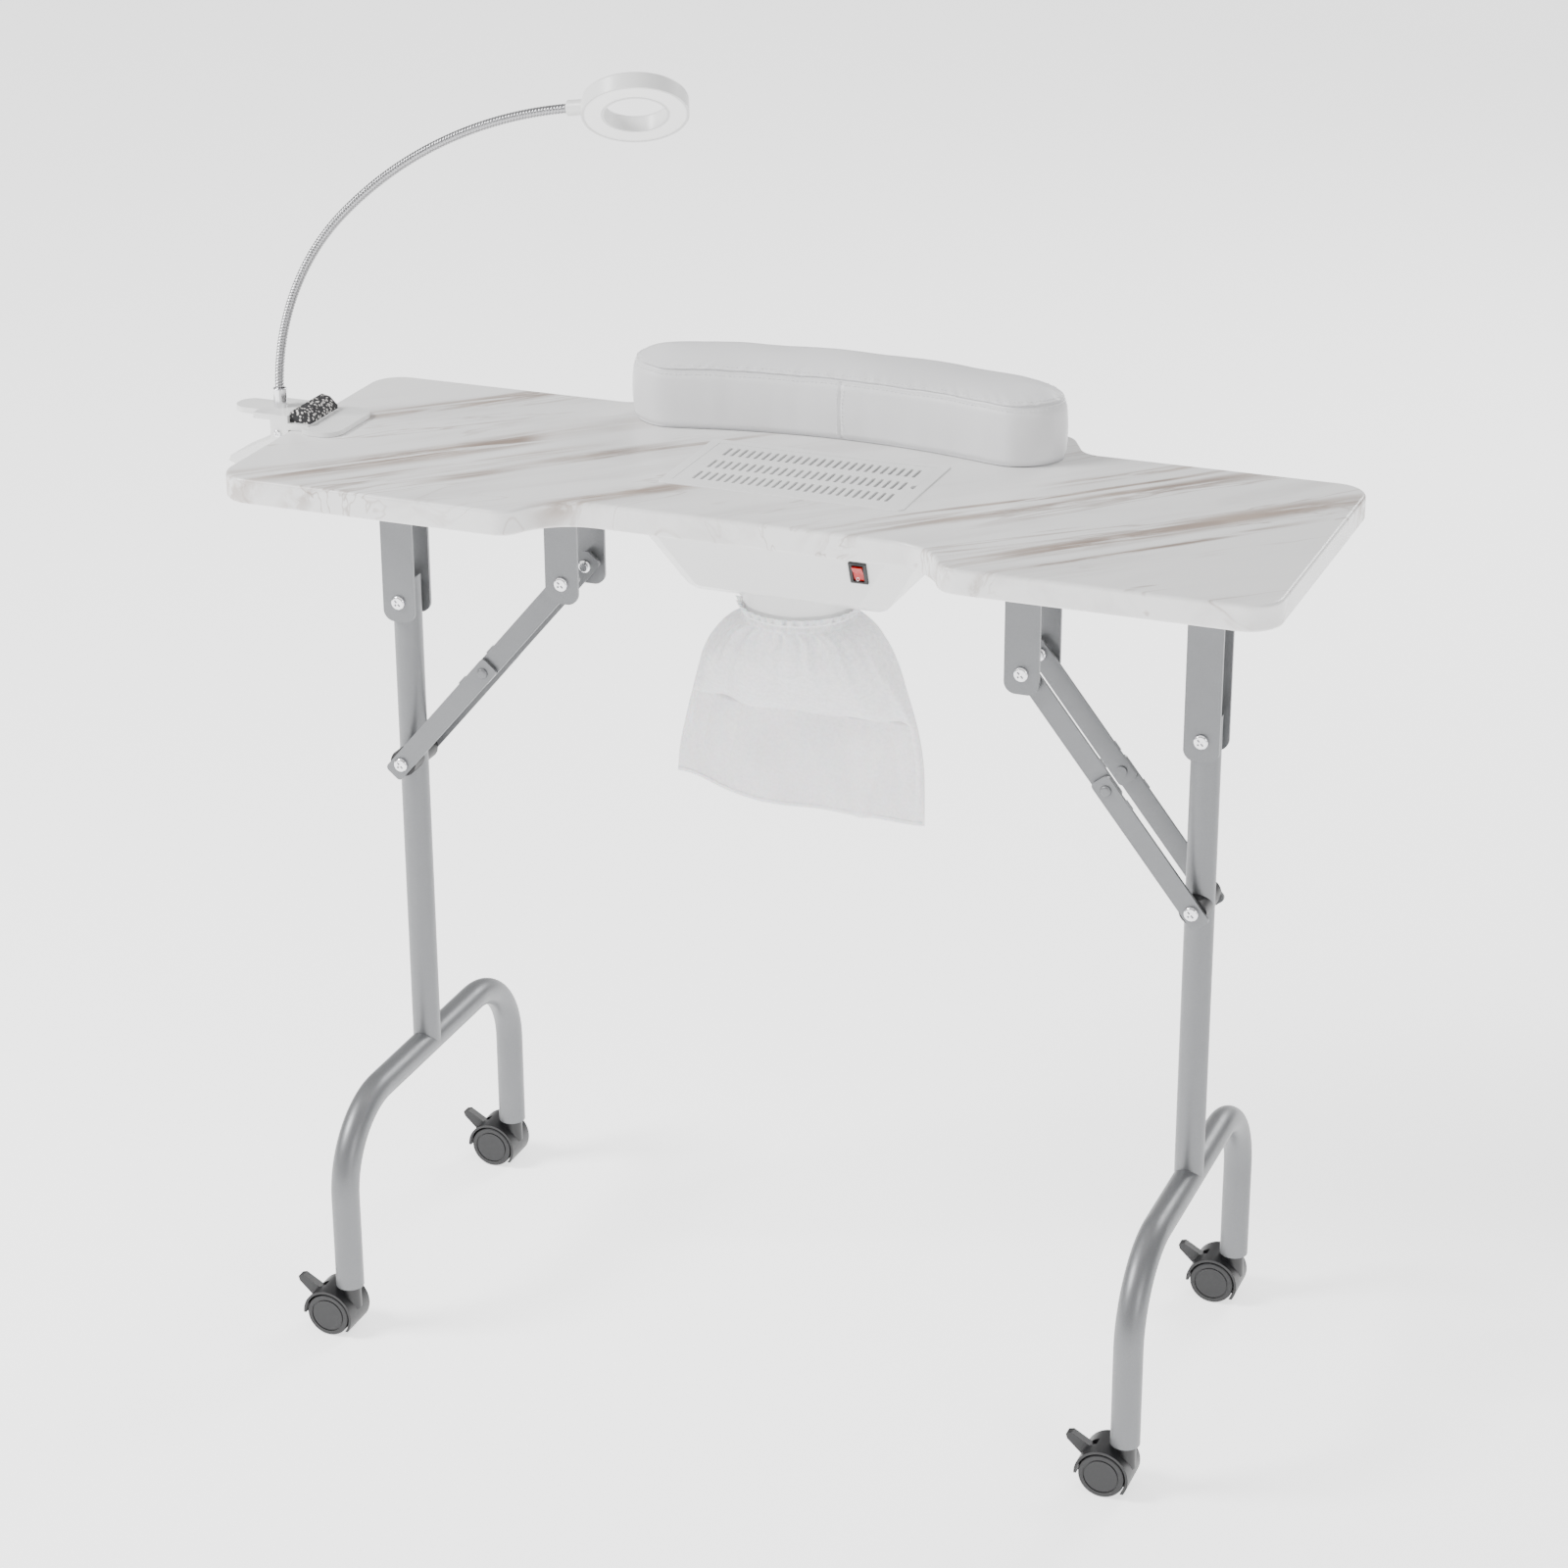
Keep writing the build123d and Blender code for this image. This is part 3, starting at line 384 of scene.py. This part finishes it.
# Plan of the wrist cushion, from the middle of its hollow front round the right end to the back.
CUSHION_HALF = 0.155
FRONT_SAG = 0.0235
FRONT_Y = 0.1145
REAR_Y = 0.196
REAR_POINTS = (
    (CUSHION_HALF, 0.091), (0.184, 0.1065), (0.1965, 0.134), (0.182, 0.161),
    (0.138, 0.179), (0.070, 0.1915), (0, REAR_Y),
)
ROUNDING_PASSES = 220


def cushion_plan(count):
    """Closed crescent outline with even spacing, its outward normals, and its front and back as y(x).

    The front is an arc of the radius that CUSHION_HALF and FRONT_SAG give. Each rounding pass
    moves a point halfway to the middle of its neighbours.
    """
    lo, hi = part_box("cushion_pad")
    cx, y0 = (lo.x + hi.x) / 2, hi.y - REAR_Y
    half = np.linspace(0, CUSHION_HALF, 120)
    radius = (CUSHION_HALF**2 + FRONT_SAG**2) / (2 * FRONT_SAG)
    front_y = FRONT_Y - radius + np.sqrt(radius**2 - half**2)
    rear = curve_through(REAR_POINTS, (1, 0.32), (-1, 0), 60)
    right = np.concatenate([np.stack([half, front_y], 1)[:-1], rear])
    raw = np.concatenate([right, right[1:][::-1] * [-1, 1]])
    for _ in range(ROUNDING_PASSES):
        raw = 0.5 * raw + 0.25 * (np.roll(raw, 1, 0) + np.roll(raw, -1, 0))
    raw = raw + [cx, y0]
    step = np.linalg.norm(np.roll(raw, -1, 0) - raw, axis=1)
    along = np.concatenate([[0], np.cumsum(step)])
    closed = np.concatenate([raw, raw[:1]])
    s = np.linspace(0, along[-1], count, endpoint=False)
    pts = np.stack([np.interp(s, along, closed[:, k]) for k in (0, 1)], 1)
    tangent = np.roll(pts, -1, 0) - np.roll(pts, 1, 0)
    tangent /= np.linalg.norm(tangent, axis=1)[:, None]
    normal = np.stack([tangent[:, 1], -tangent[:, 0]], 1)

    def front(x):
        return y0 + FRONT_Y - radius + np.sqrt(radius**2 - x**2)

    def back(x):
        return y0 + REAR_Y - 0.020 * (x / 0.138) ** 2

    return pts, normal, s, along[-1], front, back, cx


def make_cushion():
    """Side wall with a slight belly, a sewn edge with a drawn-in groove, and a crowned top.

    Side: the wall sits 2.5 mm inside the outline, bulges by 2 mm * sin(pi h), h from foot to seam,
    and draws in at its foot and head. Top: height above the groove = crown * (1 - (1 - t)^2.4),
    t from the seam to the spine of the crescent.
    """
    count = 720
    lo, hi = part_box("cushion_pad")
    pts, normal, s, length, front, back, cx = cushion_plan(count)
    base, seam_z, crown = lo.z, hi.z - 0.0100, 0.0110
    spine_x = (pts[:, 0] - cx) * 0.80
    spine = np.stack([spine_x + cx, (front(spine_x) + back(spine_x)) / 2], 1)
    tau = s / length * TAU
    uneven = ripple(tau, [(9, 0.5, 0.3), (17, 0.35, 1.9), (29, 0.2, 4.0), (43, 0.15, 2.2)])
    puckers = ripple(tau, [(60, 1.0, 0.0), (83, 0.7, 1.0)])
    centre_seam = 0.0012 * np.exp(-((s - length_at_front(pts, cx, s)) / 0.0016) ** 2)

    def under(inset):
        return np.column_stack([pts + (spine - pts) * inset, np.full(count, base + 0.0004)])

    def side(h):
        foot = 0.0030 * (1 - smoothstep(h, 0.0, 0.10))
        head = 0.0030 * smoothstep(h, 0.88, 1.0)
        bulge = math.sin(math.pi * h)
        push = -0.0025 - foot - head * 0.6 + 0.0020 * bulge + 0.0006 * uneven * bulge
        xy = pts + normal * (push - centre_seam)[:, None]
        return np.column_stack([xy, base + (seam_z - base) * h + 0.0005 * uneven * h])

    def groove(push, rise):
        return np.column_stack([pts + normal * (-0.0048 + push), seam_z + rise + 0.0005 * uneven])

    def top(t):
        edge = pts + normal * (-0.0046)
        xy = edge + (spine - edge) * t
        z = seam_z + 0.0026 + crown * (1 - (1 - t) ** 2.4) + 0.0005 * uneven * (1 - t) ** 2
        z = z + 0.0004 * puckers * (1 - t) ** 6
        z = z + 0.0005 * np.sin(70 * xy[:, 0] + 1.0) * np.sin(90 * xy[:, 1])
        return np.column_stack([xy, z])

    under_rows = [under(inset) for inset in (0.9, 0.5, 0.08)]
    side_rows = [side(h) for h in np.linspace(0, 1, 26)]
    groove_rows = [groove(push, rise) for push, rise in (
        (0.0006, 0.0006), (-0.0012, 0.0011), (-0.0014, 0.0018), (0.0004, 0.0026))]
    top_rows = [top(t) for t in np.linspace(0.02, 1.0, 34) ** 1.15]
    rows = under_rows + side_rows + groove_rows + top_rows
    verts = np.concatenate(rows)
    cushion = mesh_object("cushion_cover", verts, grid_faces(len(rows), count), LEATHER)
    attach(cushion, "cushion")
    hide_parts("cushion_pad")

    places, ways = [], []
    spacing = 0.0042
    n = int(length / spacing)
    index = np.linspace(0, count, n, endpoint=False).astype(int)
    for row, offset in ((side_rows[24], 0.0006), (top_rows[3], 0.0003)):
        places.append(row[index] + np.column_stack([normal[index] * offset, np.full(n, offset * 0.5)]))
        ways.append(row[(index + 3) % count] - row[(index - 3) % count])
    middle = int(np.argmin(np.abs(s - length_at_front(pts, cx, s))))
    seam_n = 11
    heights = np.linspace(base + 0.006, seam_z - 0.006, seam_n)
    for step in (-2, 2):
        at = (middle + step) % count
        beside = pts[at] + normal[at] * (-0.0004)
        places.append(np.column_stack([np.tile(beside, (seam_n, 1)), heights]))
        ways.append(np.tile([0, 0, 1.0], (seam_n, 1)))
    stitches = beads("cushion_stitches", np.concatenate(places), np.concatenate(ways),
                     0.00125, 0.00035, THREAD)
    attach(stitches, "cushion")
    stitches.parent = cushion
    stitches.matrix_parent_inverse = Matrix.Identity(4)


def length_at_front(pts, cx, s):
    """Arc length of the middle of the front face."""
    front = np.where(pts[:, 1] < np.median(pts[:, 1]), np.abs(pts[:, 0] - cx), 9)
    return s[int(np.argmin(front))]


def beads(name, places, ways, half, radius, material):
    """Small spindles, one at each place along its way: radius r sqrt(1 - u^2) for u from -1 to 1."""
    u = np.linspace(-1, 1, 5)
    a = np.linspace(0, TAU, 6, endpoint=False)
    ways = ways / np.linalg.norm(ways, axis=1)[:, None]
    helper = np.where(np.abs(ways[:, 2:3]) > 0.9, [[1.0, 0, 0]], [[0, 0, 1.0]])
    e1 = np.cross(ways, helper)
    e1 /= np.linalg.norm(e1, axis=1)[:, None]
    e2 = np.cross(ways, e1)
    r = radius * np.sqrt(np.maximum(1 - u**2, 0.02))
    cos, sin = np.cos(a)[None, None, :, None], np.sin(a)[None, None, :, None]
    ring = e1[:, None, None] * cos + e2[:, None, None] * sin
    v = places[:, None, None] + ways[:, None, None] * (u * half)[None, :, None, None]
    v = v + ring * r[None, :, None, None]
    base = grid_faces(len(u), len(a))
    count = len(u) * len(a)
    faces = (base[None] + (np.arange(len(places)) * count)[:, None, None]).reshape(-1, 4)
    return mesh_object(name, v.reshape(-1, 3), faces, material)


make_cushion()


# ---------------------------------------------------------------- dust bag
def smooth_through(x, y, at):
    """Cubic curve through (x, y) with the slopes of its neighbours, at the values at."""
    slope = np.gradient(y, x)
    k = np.clip(np.searchsorted(x, at, side="right") - 1, 0, len(x) - 2)
    w = x[k + 1] - x[k]
    t = (at - x[k]) / w
    return ((2 * t**3 - 3 * t**2 + 1) * y[k] + (t**3 - 2 * t**2 + t) * w * slope[k]
            + (-2 * t**3 + 3 * t**2) * y[k + 1] + (t**3 - t**2) * w * slope[k + 1])


def hem_sway(x):
    """Waves of the flat bottom seam to front and back, x from the bag's middle."""
    return 0.0016 * np.sin(5 * x / 0.11 + 0.6) + 0.0009 * np.sin(12 * x / 0.11)


def hem_rise(x):
    """Lift of the left corner."""
    return 0.0165 * smoothstep(-x, 0.03, 0.115)


def make_bag():
    """Thin bag: a gathered round neck that opens out to a flat, level bottom seam.

    At height v the section is a superellipse of half-width a(v) and half-depth b(v), with gathers
    that fade downwards. The depth falls as the width grows, b^2 = 0.64 (2 r^2 - a^2), down to flat.
    """
    lo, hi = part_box("dust_bag")
    clo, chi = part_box("collar")
    cx, cy = (clo.x + chi.x) / 2, (clo.y + chi.y) / 2
    neck_r = (chi.x - clo.x) / 2 - 0.0010
    top, mouth = hi.z - 0.001, clo.z
    low = lo.z
    level = np.array([0.0, 0.04, 0.10, 0.20, 0.31, 0.50, 0.70, 0.86, 1.0])
    left_x = -np.array([neck_r, 0.0610, 0.0720, 0.0835, 0.0906, 0.0990, 0.1062, 0.1115, 0.1140])
    right_x = np.array([neck_r, 0.0630, 0.0735, 0.0850, 0.0930, 0.1045, 0.1105, 0.1117, 0.1119])
    rows_n, cols = 150, 420
    v = np.linspace(0, 1, rows_n)
    ang = np.linspace(0, TAU, cols, endpoint=False)
    V, A = np.meshgrid(v, ang, indexing="ij")
    xl = smooth_through(level, left_x, V)
    xr = smooth_through(level, right_x, V)
    mid, a = (xl + xr) / 2, (xr - xl) / 2
    round_r = 0.0715
    b = np.sqrt(np.maximum(2 * round_r**2 - a**2, 0.0)) * 0.80
    b = neck_r + (b - neck_r) * smoothstep(V, 0.03, 0.35)
    b = b * (1 - smoothstep(V, 0.45, 1.0)) + 0.0009
    power = 1 - 0.18 * smoothstep(V, 0.1, 0.8)
    cos, sin = np.cos(A), np.sin(A)
    X = cx + mid + a * np.sign(cos) * np.abs(cos) ** power
    Y = cy + b * np.sign(sin) * np.abs(sin) ** (2 - power)
    gathers = ripple(A + 0.25 * V, [(31, 0.55, 0.4), (23, 0.6, 2.0), (47, 0.35, 1.1), (13, 0.5, 5.0)])
    folds = ripple(A, [(7, 0.6, 1.2), (11, 0.5, 3.1), (4, 0.6, 0.5)])
    fade = np.exp(-V / 0.14) * (1 - 0.85 * np.exp(-V / 0.012))
    gather_size = 0.0030 * fade
    fold_size = 0.0042 * smoothstep(V, 0.05, 0.35) * (1 - smoothstep(V, 0.72, 1.0))
    X = X + cos * gathers * gather_size
    Y = Y + sin * gathers * gather_size + np.sign(sin) * np.abs(sin) ** 0.5 * folds * fold_size
    crease = np.exp(-((X - cx - 0.075 + 0.05 * (V - 0.6)) / 0.006) ** 2) * smoothstep(V, 0.5, 0.9)
    Y = Y - 0.003 * crease * (sin < 0)
    Y = Y + hem_sway(X - cx) * smoothstep(V, 0.55, 1.0)
    corner_rise = hem_rise(X - cx) * smoothstep(V, 0.2, 1.0)
    Z = mouth - 0.0005 + (low + 0.0005 - mouth) * V + corner_rise
    skirt = np.stack([X, Y, Z], -1)

    lip_v = np.linspace(0, 1, 16)
    L, LA = np.meshgrid(lip_v, ang, indexing="ij")
    lip_wave = ripple(LA, [(37, 0.8, 0.7), (29, 0.7, 2.2), (53, 0.5, 4.4)])
    flare = 0.0030 * (1 - L) ** 1.5 + 0.0004
    pinch = np.exp(-((L - 0.62) / 0.16) ** 2)
    r = neck_r + 0.0010 + flare * (1 + 0.6 * lip_wave) * (1 - pinch) + 0.0006 * lip_wave * L
    lip_z = top + (mouth - 0.0005 - top) * L + 0.0006 * lip_wave * (1 - L)
    lip = np.stack([cx + r * np.cos(LA), cy + r * np.sin(LA), lip_z], -1)
    rows = np.concatenate([lip[:-1], skirt])
    bag = mesh_object("dust_bag_cloth", rows.reshape(-1, 3), grid_faces(len(rows), cols), CLOTH)
    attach(bag, "table")
    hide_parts("dust_bag", "bag_elastic")

    hem_x = np.linspace(-0.1125, 0.1095, 260)
    line = np.stack([cx + hem_x, cy + hem_sway(hem_x), low + 0.0030 + hem_rise(hem_x)], 1)
    seam = tube("bag_hem_stitch", line, 0.0011, CLOTH, 8)
    ring = np.linspace(0, TAU, 200, endpoint=False)
    wave = ripple(ring, [(37, 0.8, 0.7), (29, 0.7, 2.2)])
    rr = neck_r + 0.0022 + 0.0003 * wave
    band = np.stack([cx + rr * np.cos(ring), cy + rr * np.sin(ring), top - 0.0055 + 0.0004 * wave], 1)
    elastic = tube("bag_elastic_band", band, 0.0012, THREAD, 8, closed=True)
    for piece, name in ((seam, "dust_bag"), (elastic, "bag_elastic")):
        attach(piece, "table")
    for piece in (bag, seam):
        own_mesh(piece)


def tube(name, line, radius, material, sides, closed=False, ribs=None):
    """A tube along a line of points; ribs is (pitch, depth) of a helical groove."""
    line = np.asarray(line, float)
    if closed:
        tangent = np.roll(line, -1, 0) - np.roll(line, 1, 0)
    else:
        tangent = np.gradient(line, axis=0)
    tangent /= np.linalg.norm(tangent, axis=1)[:, None]
    up = np.array([0.0, 1.0, 0.0]) if abs(tangent[:, 1]).max() < 0.95 else np.array([0.0, 0.0, 1.0])
    e1 = np.cross(tangent, up)
    e1 /= np.linalg.norm(e1, axis=1)[:, None]
    e2 = np.cross(tangent, e1)
    a = np.linspace(0, TAU, sides, endpoint=False)
    r = np.full((len(line), sides), radius)
    if ribs:
        pitch, depth = ribs
        step = np.linalg.norm(np.diff(line, axis=0), axis=1)
        s = np.concatenate([[0], np.cumsum(step)])
        phase = TAU * s[:, None] / pitch + a[None]
        r = radius - depth * (0.5 - 0.5 * np.cos(phase)) ** 3
    v = line[:, None] + e1[:, None] * (r * np.cos(a))[..., None] + e2[:, None] * (r * np.sin(a))[..., None]
    verts = v.reshape(-1, 3)
    faces = grid_faces(len(line), sides, wrap_rows=closed).tolist()
    if not closed:
        n = len(verts)
        verts = np.concatenate([verts, line[:1], line[-1:]])
        k = np.arange(sides)
        start = np.stack([k, (k + 1) % sides, np.full(sides, n)], 1)[:, ::-1]
        last = (len(line) - 1) * sides
        end = np.stack([last + k, last + (k + 1) % sides, np.full(sides, n + 1)], 1)
        faces += start.tolist() + end.tolist()
    return mesh_object(name, verts, faces, material)


make_bag()


# ---------------------------------------------------------------- gooseneck
def arm_line(spacing):
    """Centreline of the gooseneck: a straight start, then three arcs, as (heading in, heading out, radius)."""
    base = JOINTS["lamp_swivel"]["pos_m"]
    lo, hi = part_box("lamp_gooseneck")
    x, z = base[0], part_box("lamp_ferrule")[1].z
    line = [np.stack([np.full(12, x), np.linspace(lo.z + 0.0005, z, 12)], 1)]
    for begin, end, radius in ((90, 86, 0.120), (86, 45, 0.233), (45, 8, 0.382)):
        b, e = math.radians(begin), math.radians(end)
        cx, cz = x + radius * math.sin(b), z - radius * math.cos(b)
        t = np.linspace(b, e, max(int(radius * (b - e) / spacing), 2))[1:]
        line.append(np.stack([cx - radius * np.sin(t), cz + radius * np.cos(t)], 1))
        x, z = cx - radius * math.sin(e), cz + radius * math.cos(e)
    xz = np.concatenate(line)
    return np.stack([xz[:, 0], np.full(len(xz), base[1]), xz[:, 1]], 1)


def make_gooseneck():
    """The plated hose: a tube along the arm with a helical groove, its points evenly spaced."""
    spacing = 0.00042
    coarse = arm_line(spacing)
    step = np.linalg.norm(np.diff(coarse, axis=0), axis=1)
    s = np.concatenate([[0], np.cumsum(step)])
    even = np.arange(0, s[-1], spacing)
    line = np.stack([np.interp(even, s, coarse[:, k]) for k in range(3)], 1)
    hose = tube("gooseneck_hose", line, 0.00395, HOSE, 20, ribs=(0.0028, 0.0011))
    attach(hose, "lamp_arm")
    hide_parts("lamp_gooseneck")


make_gooseneck()


# ---------------------------------------------------------------- rocker marks
FACE_TILT = math.radians(20)
ROCKER_LEAN = math.radians(12)
HALF_HEIGHT, HALF_FALL = 0.00776, 0.00094


def make_marks():
    """A bar and a ring, the usual on and off marks of the rocker.

    Each point is the pivot + across * u + up * w + out * height, and the height grows with |w| from
    the ridge to the ends. up leans back from the face, so the bar lies about 2 mm inside the rocker
    and the ring stands 2 to 4 mm in front of it.
    """
    pivot = np.array(JOINTS["switch_rock"]["pos_m"])
    lean = Matrix.Rotation(ROCKER_LEAN, 3, "X")
    up = np.array(lean @ Vector((0, math.sin(FACE_TILT), math.cos(FACE_TILT))))
    out = np.array(lean @ Vector((0, -math.cos(FACE_TILT), -math.sin(FACE_TILT))))
    across = np.array([1.0, 0, 0])

    def on_face(u, w):
        height = 0.00100 + np.abs(w) * HALF_FALL / HALF_HEIGHT + 0.00006
        return pivot + np.outer(u, across) + np.outer(w, up) + np.outer(height, out)

    bar_u = np.array([-0.0003, 0.0003, 0.0003, -0.0003])
    bar = on_face(bar_u, np.array([0.0028, 0.0028, 0.0055, 0.0055]))
    points = 32
    ang = np.linspace(0, TAU, points, endpoint=False)
    rings = [on_face(r * np.cos(ang), -0.0042 + r * np.sin(ang)) for r in (0.0009, 0.0014)]
    faces = np.concatenate([[[0, 1, 2, 3]], grid_faces(2, points) + 4])
    mark = mesh_object("rocker_marks", np.concatenate([bar, *rings]), faces, MARK, False)
    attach(mark, "rocker")


make_marks()


# ---------------------------------------------------------------- floor, light and camera
FLOOR_HALF, FLOOR_Z = 9, -0.0003


def make_stage():
    """A pale floor, an even white surround, and three soft square lights aimed at the table's middle."""
    paper = Paint("floor_paper", (0.93, 0.93, 0.93), 0.9, Emission_Color=(1, 1, 1, 1), Emission_Strength=1.6)
    corners = [(x * FLOOR_HALF, y * FLOOR_HALF, FLOOR_Z) for x, y in ((-1, -1), (1, -1), (1, 1), (-1, 1))]
    floor = mesh_object("floor", corners, [[0, 1, 2, 3]], paper.mat, False)
    world = bpy.data.worlds.new("studio")
    bpy.context.scene.world = world
    world.use_nodes = True
    back = world.node_tree.nodes["Background"]
    back.inputs["Color"].default_value = (1, 1, 1, 1)
    back.inputs["Strength"].default_value = 0.62
    for name, place, size, power in (
        ("key", (-2.6, -1.6, 3.2), 1.3, 230),
        ("fill", (3.2, -2.2, 1.8), 1.4, 50),
        ("rim", (1.2, 3.4, 2.6), 1.4, 90),
    ):
        data = bpy.data.lights.new(name, "AREA")
        data.size, data.energy = size, power
        lamp = bpy.data.objects.new(name, data)
        bpy.context.scene.collection.objects.link(lamp)
        lamp.location = place
        aim = Vector((0, 0, 0.6)) - Vector(place)
        lamp.rotation_euler = aim.to_track_quat("-Z", "Y").to_euler()


def make_camera():
    """Long lens from the front right, above the table."""
    az, el, roll = (math.radians(d) for d in (21.6236, 22.8533, 0.2844))
    ahead = Vector((-math.sin(az) * math.cos(el), math.cos(az) * math.cos(el), -math.sin(el)))
    right = Vector((math.cos(az), math.sin(az), 0))
    down = ahead.cross(right)
    right2 = right * math.cos(roll) + down * math.sin(roll)
    down2 = -right * math.sin(roll) + down * math.cos(roll)
    data = bpy.data.cameras.new("camera")
    data.sensor_width, data.lens = 36.0, 87.71
    data.clip_end = 60
    cam = bpy.data.objects.new("camera", data)
    bpy.context.scene.collection.objects.link(cam)
    turn = Matrix((right2, -down2, -ahead)).transposed().to_4x4()
    cam.matrix_world = Matrix.Translation((1.12455, -2.78304, 1.7751)) @ turn
    bpy.context.scene.camera = cam


make_stage()
make_camera()
